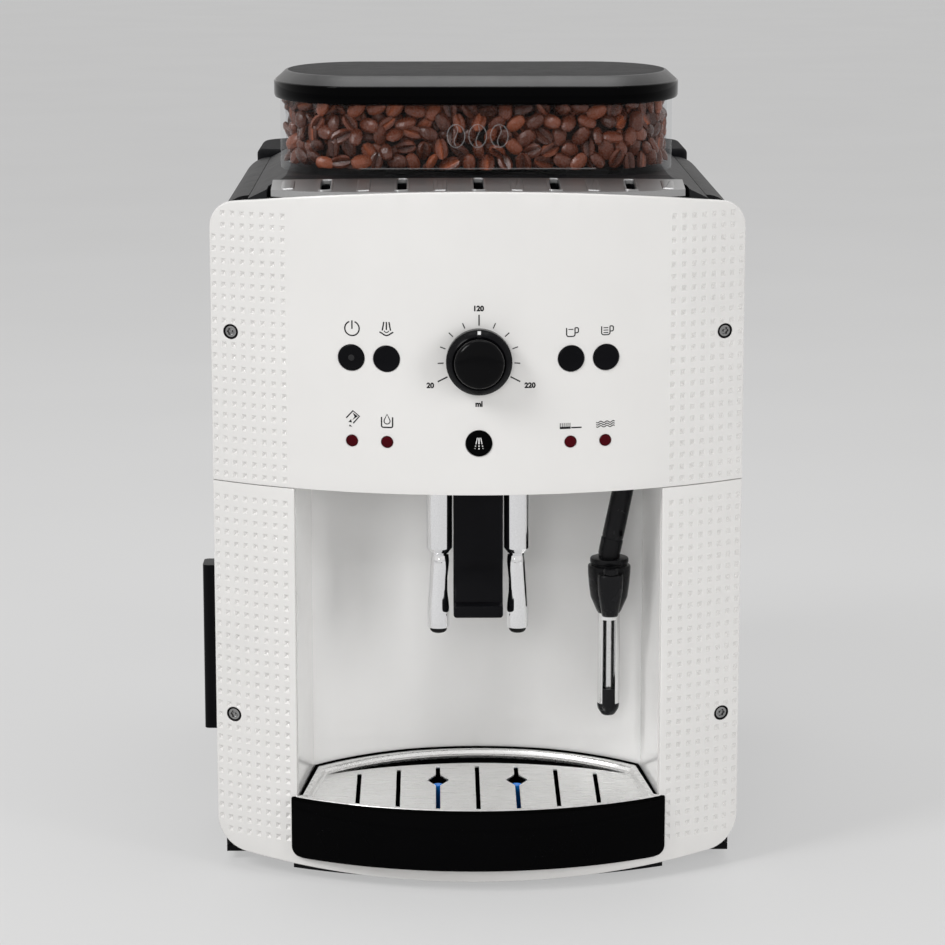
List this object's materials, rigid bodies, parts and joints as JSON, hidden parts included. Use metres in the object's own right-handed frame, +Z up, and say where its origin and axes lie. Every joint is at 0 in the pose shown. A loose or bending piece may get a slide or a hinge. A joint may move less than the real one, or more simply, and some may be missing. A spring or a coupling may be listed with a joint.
{
  "type": "bean to cup coffee machine",
  "caption": "Countertop bean to cup coffee machine: bowed white front, bean hopper, dial and buttons, sliding outlet, steam wand, drip tray, grounds drawer and water tank.",
  "frame": {"origin": "under the middle of the whole machine's outline, on the surface that the feet rest on", "axes": "+Z up, +Y towards the back of the machine, +X to the right of a person who faces its front"},
  "size_m": [0.2554, 0.3274, 0.371],
  "materials": {
    "white_gloss": "bright gloss white plastic, dimpled at the sides",
    "bay_white": "gloss white plastic",
    "black_textured": "fine leather-grained black plastic",
    "black_gloss": "smooth gloss black plastic",
    "black_satin": "satin black plastic",
    "grille_grey": "silver-grey satin",
    "clear_plastic": "clear plastic",
    "tank_clear": "smoked clear plastic",
    "chrome": "polished chrome",
    "steel": "brushed stainless steel",
    "rubber": "black rubber",
    "blue_plastic": "blue plastic",
    "lamp_red": "dark red lens",
    "aluminium": "cast aluminium",
    "burr_steel": "hardened steel",
    "grey_plastic": "grey glass-filled plastic",
    "gear_plastic": "natural acetal",
    "brass": "turned brass",
    "board_green": "glass-fibre board",
    "silicone": "clear silicone hose"
  },
  "bodies": {
    "root": {"control_panel": "white_gloss", "lower_frame": "white_gloss", "bay_liner": "bay_white", "side_cover_left": "black_textured", "side_cover_right": "black_textured", "rear_cover": "black_textured", "top_deck": "black_textured", "cup_grille": "grille_grey", "base_plate": "black_satin", "feet": "rubber", "cord_gland": "rubber", "chassis": "grey_plastic", "panel_screws": "steel", "control_board": "board_green", "dial_encoder": "grey_plastic", "indicator_lamps": "lamp_red", "outlet_guide": "grey_plastic", "wand_socket": "grey_plastic", "bean_hopper": "clear_plastic", "grinder_housing": "grey_plastic", "burr_ring": "burr_steel", "grinder_motor": "steel", "coffee_chute": "grey_plastic", "brew_cylinder": "aluminium", "brew_head": "grey_plastic", "thermoblock": "aluminium", "pump": "grey_plastic", "suction_hose": "silicone", "pressure_pipe": "silicone", "brew_pipe": "silicone", "coffee_pipe": "silicone", "steam_pipe": "silicone"},
    "hopper_lid": {"hopper_lid": "black_textured"},
    "grind_knob": {"grind_knob": "black_satin"},
    "burr": {"burr_cone": "burr_steel", "drive_gear": "gear_plastic"},
    "pinion": {"motor_pinion": "brass"},
    "tank": {"water_tank": "tank_clear"},
    "tank_lid": {"tank_lid": "black_gloss"},
    "drawer": {"grounds_drawer": "black_satin"},
    "tray": {"drip_tray": "black_gloss"},
    "grid": {"drip_grid": "steel"},
    "float": {"tray_float": "blue_plastic"},
    "outlet": {"outlet_slider": "black_satin", "outlet_tubes": "chrome", "outlet_spouts": "chrome", "spout_tips": "rubber"},
    "wand": {"wand_arm": "black_satin", "wand_nozzle": "black_satin", "wand_pipe": "steel"},
    "air_knob": {"air_knob": "black_satin"},
    "sleeve": {"wand_sleeve": "steel", "wand_tip": "black_satin"},
    "dial": {"dial_knob": "black_gloss"},
    "piston": {"brew_piston": "grey_plastic"},
    "power_button": {"power_button": "black_gloss"},
    "steam_button": {"steam_button": "black_gloss"},
    "one_cup_button": {"one_cup_button": "black_gloss"},
    "two_cup_button": {"two_cup_button": "black_gloss"},
    "rinse_button": {"rinse_button": "black_gloss"}
  },
  "joints": [
    {"name": "lid_lift", "type": "slide", "parent": "root", "child": "hopper_lid", "axis": [0, 0, 1], "range_m": [0, 0.06]},
    {"name": "grind_dial", "type": "hinge", "parent": "root", "child": "grind_knob", "pos_m": [0.07125, -0.04575, 0.33], "axis": [0, 0, 1], "range_deg": [-60, 60]},
    {"name": "burr_spin", "type": "hinge", "parent": "root", "child": "burr", "pos_m": [0.00525, -0.04575, 0.265], "axis": [0, 0, 1], "continuous": true},
    {"name": "pinion_spin", "type": "hinge", "parent": "root", "child": "pinion", "pos_m": [0.05175, -0.04575, 0.251], "axis": [0, 0, 1], "continuous": true},
    {"name": "tank_lift", "type": "slide", "parent": "root", "child": "tank", "axis": [0, 0, 1], "range_m": [0, 0.15]},
    {"name": "tank_lid_hinge", "type": "hinge", "parent": "tank", "child": "tank_lid", "pos_m": [0.00525, 0.16075, 0.3113], "axis": [-1, 0, 0], "range_deg": [0, 90]},
    {"name": "drawer_slide", "type": "slide", "parent": "root", "child": "drawer", "axis": [-1, 0, 0], "range_m": [0, 0.11]},
    {"name": "tray_slide", "type": "slide", "parent": "root", "child": "tray", "axis": [0, -1, 0], "range_m": [0, 0.09]},
    {"name": "grid_lift", "type": "slide", "parent": "tray", "child": "grid", "axis": [0, 0, 1], "range_m": [0, 0.024]},
    {"name": "float_rise", "type": "slide", "parent": "tray", "child": "float", "axis": [0, 0, 1], "range_m": [0, 0.006]},
    {"name": "outlet_slide", "type": "slide", "parent": "root", "child": "outlet", "axis": [0, 0, 1], "range_m": [-0.016, 0.029]},
    {"name": "wand_swing", "type": "hinge", "parent": "root", "child": "wand", "pos_m": [0.07445, -0.10525, 0.187], "axis": [1, 0, 0], "range_deg": [-35, 5]},
    {"name": "air_knob_turn", "type": "hinge", "parent": "wand", "child": "air_knob", "pos_m": [0.06675, -0.11905, 0.143], "axis": [0, 0, 1], "range_deg": [0, 90]},
    {"name": "sleeve_pull", "type": "slide", "parent": "wand", "child": "sleeve", "axis": [0, 0, -1], "range_m": [0, 0.022]},
    {"name": "dial_turn", "type": "hinge", "parent": "root", "child": "dial", "pos_m": [0.00525, -0.15525, 0.247], "axis": [0, 1, 0], "range_deg": [-117.4, 117.4]},
    {"name": "piston_rise", "type": "slide", "parent": "root", "child": "piston", "axis": [0, 0, 1], "range_m": [0, 0.03]},
    {"name": "power_button_press", "type": "slide", "parent": "root", "child": "power_button", "axis": [0, 1, 0], "range_m": [0, 0.0015], "stiffness_N_per_m": 300, "springref_m": -0.001},
    {"name": "steam_button_press", "type": "slide", "parent": "root", "child": "steam_button", "axis": [0, 1, 0], "range_m": [0, 0.0015], "stiffness_N_per_m": 300, "springref_m": -0.001},
    {"name": "one_cup_button_press", "type": "slide", "parent": "root", "child": "one_cup_button", "axis": [0, 1, 0], "range_m": [0, 0.0015], "stiffness_N_per_m": 300, "springref_m": -0.001},
    {"name": "two_cup_button_press", "type": "slide", "parent": "root", "child": "two_cup_button", "axis": [0, 1, 0], "range_m": [0, 0.0015], "stiffness_N_per_m": 300, "springref_m": -0.001},
    {"name": "rinse_button_press", "type": "slide", "parent": "root", "child": "rinse_button", "axis": [0, 1, 0], "range_m": [0, 0.0015], "stiffness_N_per_m": 300, "springref_m": -0.001}
  ],
  "couplings": [
    {"joint": "pinion_spin", "follows": "burr_spin", "ratio": -3.4286}
  ]
}
